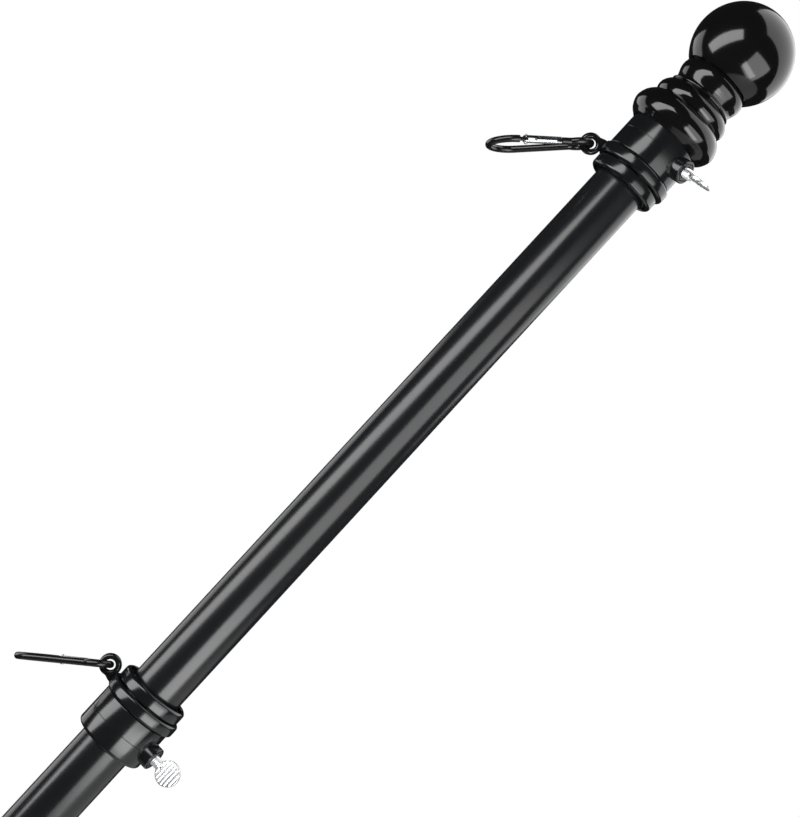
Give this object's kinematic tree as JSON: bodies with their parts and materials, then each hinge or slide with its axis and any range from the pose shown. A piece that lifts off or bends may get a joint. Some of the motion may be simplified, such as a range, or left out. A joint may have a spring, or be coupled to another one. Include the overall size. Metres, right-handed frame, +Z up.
{
  "type": "wall-mounted flagpole",
  "caption": "Black flagpole leaning out of a cast two-position wall bracket, with swivelling flag rings, snap hooks and a ball finial.",
  "frame": {"origin": "on the bracket's wall face, on the axis of its level socket", "axes": "+X out of the wall, +Z up the wall; the pole leans up and out in the plane Y = 0"},
  "size_m": [1.0946, 0.061, 1.1241],
  "materials": {
    "cast_black": "black powder coat on cast aluminium",
    "tube_black": "satin black coat on steel tube",
    "ring_black": "semi-gloss black coat on aluminium",
    "hook_black": "black plated steel, on the hook wire and the nuts",
    "gate_steel": "bright steel tube",
    "bright_steel": "zinc plated steel",
    "gloss_black": "gloss black moulded plastic"
  },
  "bodies": {
    "bracket": {"wall_bracket": "cast_black"},
    "pole": {"pole_lower_section": "tube_black", "pole_middle_section": "tube_black", "pole_upper_section": "tube_black", "finial_base": "gloss_black", "finial_ball": "gloss_black"},
    "lower_clamp": {"lower_collar": "ring_black", "lower_flange": "ring_black", "lower_nut": "hook_black"},
    "lower_swivel": {"lower_swivel_ring": "ring_black"},
    "lower_hook": {"lower_hook_body": "hook_black", "lower_hook_pin": "bright_steel"},
    "lower_gate": {"lower_hook_gate": "gate_steel"},
    "lower_screw": {"lower_thumb_screw": "bright_steel"},
    "upper_clamp": {"upper_collar": "ring_black", "upper_flange": "ring_black", "upper_nut": "hook_black"},
    "upper_swivel": {"upper_swivel_ring": "ring_black"},
    "upper_hook": {"upper_hook_body": "hook_black", "upper_hook_pin": "bright_steel"},
    "upper_gate": {"upper_hook_gate": "gate_steel"},
    "upper_screw": {"upper_thumb_screw": "bright_steel"}
  },
  "joints": [
    {"name": "pole_lift", "type": "slide", "parent": "bracket", "child": "pole", "axis": [0.7071, 0, 0.7071], "range_m": [0, 0.08]},
    {"name": "lower_ring_slide", "type": "slide", "parent": "pole", "child": "lower_clamp", "axis": [0.7071, 0, 0.7071], "range_m": [-0.95, 0.1]},
    {"name": "lower_ring_spin", "type": "hinge", "parent": "lower_clamp", "child": "lower_swivel", "pos_m": [0.78531, 0, 0.76481], "axis": [0.7071, 0, 0.7071], "continuous": true},
    {"name": "lower_hook_swing", "type": "hinge", "parent": "lower_swivel", "child": "lower_hook", "pos_m": [0.77145, 0, 0.78376], "axis": [0, 1, 0], "range_deg": [-53, 132]},
    {"name": "lower_gate_opening", "type": "hinge", "parent": "lower_hook", "child": "lower_gate", "pos_m": [0.74662, 0.0186, 0.78495], "axis": [-0.1381, -0.1219, -0.9829], "range_deg": [0, 18], "stiffness_Nm_per_rad": 0.02, "springref_deg": -11.46},
    {"name": "lower_screw_turn", "type": "hinge", "parent": "lower_clamp", "child": "lower_screw", "pos_m": [0.77612, 0, 0.75562], "axis": [0.6725, -0.309, -0.6725], "continuous": true},
    {"name": "upper_ring_slide", "type": "slide", "parent": "pole", "child": "upper_clamp", "axis": [0.7071, 0, 0.7071], "range_m": [-0.1, 0]},
    {"name": "upper_ring_spin", "type": "hinge", "parent": "upper_clamp", "child": "upper_swivel", "pos_m": [1.01809, 0, 0.99759], "axis": [0.7071, 0, 0.7071], "continuous": true},
    {"name": "upper_hook_swing", "type": "hinge", "parent": "upper_swivel", "child": "upper_hook", "pos_m": [0.99914, 0, 1.01145], "axis": [0, -1, 0], "range_deg": [-123, 52]},
    {"name": "upper_gate_opening", "type": "hinge", "parent": "upper_hook", "child": "upper_gate", "pos_m": [0.96845, -0.00934, 1.01301], "axis": [0.0349, 0.0523, 0.998], "range_deg": [0, 18], "stiffness_Nm_per_rad": 0.02, "springref_deg": -11.46},
    {"name": "upper_screw_turn", "type": "hinge", "parent": "upper_clamp", "child": "upper_screw", "pos_m": [1.02729, 0, 1.00679], "axis": [0.5792, -0.5736, -0.5792], "continuous": true}
  ]
}
